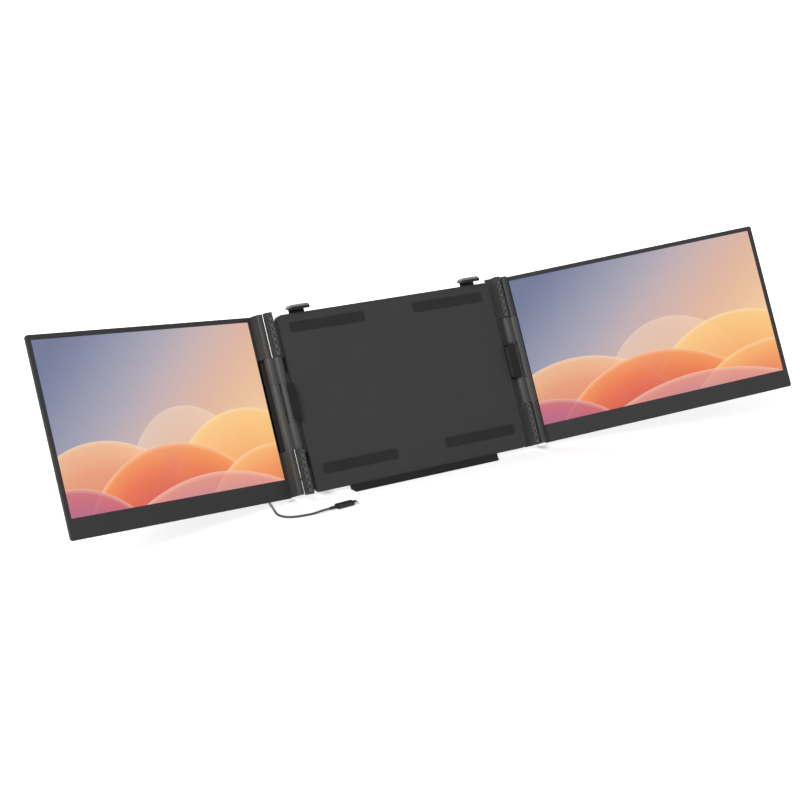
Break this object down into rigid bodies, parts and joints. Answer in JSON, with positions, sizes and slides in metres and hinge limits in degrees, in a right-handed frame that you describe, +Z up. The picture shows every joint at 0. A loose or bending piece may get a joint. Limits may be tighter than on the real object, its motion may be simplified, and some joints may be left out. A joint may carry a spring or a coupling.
{
  "type": "laptop screen extender",
  "caption": "Clip-on laptop monitor extender: a leaning frame with lid jaws, top clips and kickstand carries a folding screen on each side, with a USB-C cable.",
  "frame": {"origin": "on the table, at the middle of the front foot strip's underside", "axes": "+X to the user's right along the lid, +Y away from the user, +Z up from the table"},
  "size_m": [1.169, 0.2509, 0.2861],
  "materials": {
    "frame_plastic": "fine matt grain",
    "soft_pad": "soft matt foam",
    "black_rubber": "matt rubber",
    "circuit_board": "solder mask with dark chips",
    "port_metal": "bright plated steel",
    "steel": "plain steel",
    "dark_aluminium": "dark anodised, satin",
    "engraved_cover": "dark anodised, engraved",
    "screen_shell": "dark matt",
    "bezel_plastic": "dark satin",
    "display_glass": "anti-glare display glass",
    "light_guide": "white diffuser",
    "button_plastic": "satin black",
    "plug_plastic": "matt moulded",
    "cable_jacket": "matt jacket"
  },
  "bodies": {
    "frame": {"frame_front_plate": "frame_plastic", "frame_rear_shell": "frame_plastic", "arm_guides": "frame_plastic", "front_pads": "soft_pad", "foot_strip": "black_rubber", "hub_board": "circuit_board", "frame_usb_port": "port_metal", "kickstand_hinges": "steel", "kickstand_pin": "steel", "frame_screws": "steel", "cable_frame_plug": "plug_plastic", "cable": "cable_jacket", "cable_loose_plug": "plug_plastic"},
    "kickstand": {"kickstand_panel": "dark_aluminium", "kickstand_foot": "black_rubber"},
    "left_top_clip": {"left_top_clip": "dark_aluminium", "left_clip_pad": "soft_pad"},
    "left_column": {"left_column_spine": "dark_aluminium", "left_column_arms": "steel", "left_column_blocks": "dark_aluminium", "left_column_covers": "engraved_cover", "left_column_shafts": "steel", "left_jaw": "dark_aluminium", "left_jaw_pad": "soft_pad"},
    "left_link": {"left_link_bar": "dark_aluminium", "left_link_washers": "steel"},
    "left_screen": {"left_screen_hinge": "dark_aluminium", "left_screen_shafts": "steel", "left_screen_bezel": "bezel_plastic", "left_screen_rear_cover": "screen_shell", "left_driver_board": "circuit_board", "left_screen_ports": "port_metal", "left_screen_screws": "steel", "left_lcd_panel": "display_glass", "left_backlight": "light_guide"},
    "left_power_button": {"left_power_button": "button_plastic"},
    "left_menu_button": {"left_menu_button": "button_plastic"},
    "right_top_clip": {"right_top_clip": "dark_aluminium", "right_clip_pad": "soft_pad"},
    "right_column": {"right_column_spine": "dark_aluminium", "right_column_arms": "steel", "right_column_blocks": "dark_aluminium", "right_column_covers": "engraved_cover", "right_column_shafts": "steel", "right_jaw": "dark_aluminium", "right_jaw_pad": "soft_pad"},
    "right_link": {"right_link_bar": "dark_aluminium", "right_link_washers": "steel"},
    "right_screen": {"right_screen_hinge": "dark_aluminium", "right_screen_shafts": "steel", "right_screen_bezel": "bezel_plastic", "right_screen_rear_cover": "screen_shell", "right_driver_board": "circuit_board", "right_screen_ports": "port_metal", "right_screen_screws": "steel", "right_lcd_panel": "display_glass", "right_backlight": "light_guide"},
    "right_power_button": {"right_power_button": "button_plastic"},
    "right_menu_button": {"right_menu_button": "button_plastic"}
  },
  "joints": [
    {"name": "kickstand_hinge", "type": "hinge", "parent": "frame", "child": "kickstand", "pos_m": [0, 0.08127, 0.17303], "axis": [1, 0, 0], "range_deg": [-40.57, 20]},
    {"name": "left_top_clip_slide", "type": "slide", "parent": "frame", "child": "left_top_clip", "axis": [0, 0.4226, 0.9063], "range_m": [0, 0.015]},
    {"name": "left_column_slide", "type": "slide", "parent": "frame", "child": "left_column", "axis": [1, 0, 0], "range_m": [-0.025, 0]},
    {"name": "left_link_hinge", "type": "hinge", "parent": "left_column", "child": "left_link", "pos_m": [-0.1905, 0.04971, 0.12761], "axis": [0, -0.4226, -0.9063], "range_deg": [-90, 0]},
    {"name": "left_screen_hinge", "type": "hinge", "parent": "left_link", "child": "left_screen", "pos_m": [-0.2035, 0.04971, 0.12761], "axis": [0, 0.4226, 0.9063], "range_deg": [-20, 160]},
    {"name": "left_power_button_press", "type": "slide", "parent": "left_screen", "child": "left_power_button", "axis": [0.342, -0.8517, 0.3971], "range_m": [0, 0.0005], "stiffness_N_per_m": 800},
    {"name": "left_menu_button_press", "type": "slide", "parent": "left_screen", "child": "left_menu_button", "axis": [0.342, -0.8517, 0.3971], "range_m": [0, 0.0005], "stiffness_N_per_m": 800},
    {"name": "right_top_clip_slide", "type": "slide", "parent": "frame", "child": "right_top_clip", "axis": [0, 0.4226, 0.9063], "range_m": [0, 0.015]},
    {"name": "right_column_slide", "type": "slide", "parent": "frame", "child": "right_column", "axis": [1, 0, 0], "range_m": [0, 0.025]},
    {"name": "right_link_hinge", "type": "hinge", "parent": "right_column", "child": "right_link", "pos_m": [0.1905, 0.04971, 0.12761], "axis": [0, -0.4226, -0.9063], "range_deg": [0, 90]},
    {"name": "right_screen_hinge", "type": "hinge", "parent": "right_link", "child": "right_screen", "pos_m": [0.2035, 0.04971, 0.12761], "axis": [0, 0.4226, 0.9063], "range_deg": [-161, 19]},
    {"name": "right_power_button_press", "type": "slide", "parent": "right_screen", "child": "right_power_button", "axis": [-0.3256, -0.8569, 0.3996], "range_m": [0, 0.0005], "stiffness_N_per_m": 800},
    {"name": "right_menu_button_press", "type": "slide", "parent": "right_screen", "child": "right_menu_button", "axis": [-0.3256, -0.8569, 0.3996], "range_m": [0, 0.0005], "stiffness_N_per_m": 800}
  ]
}
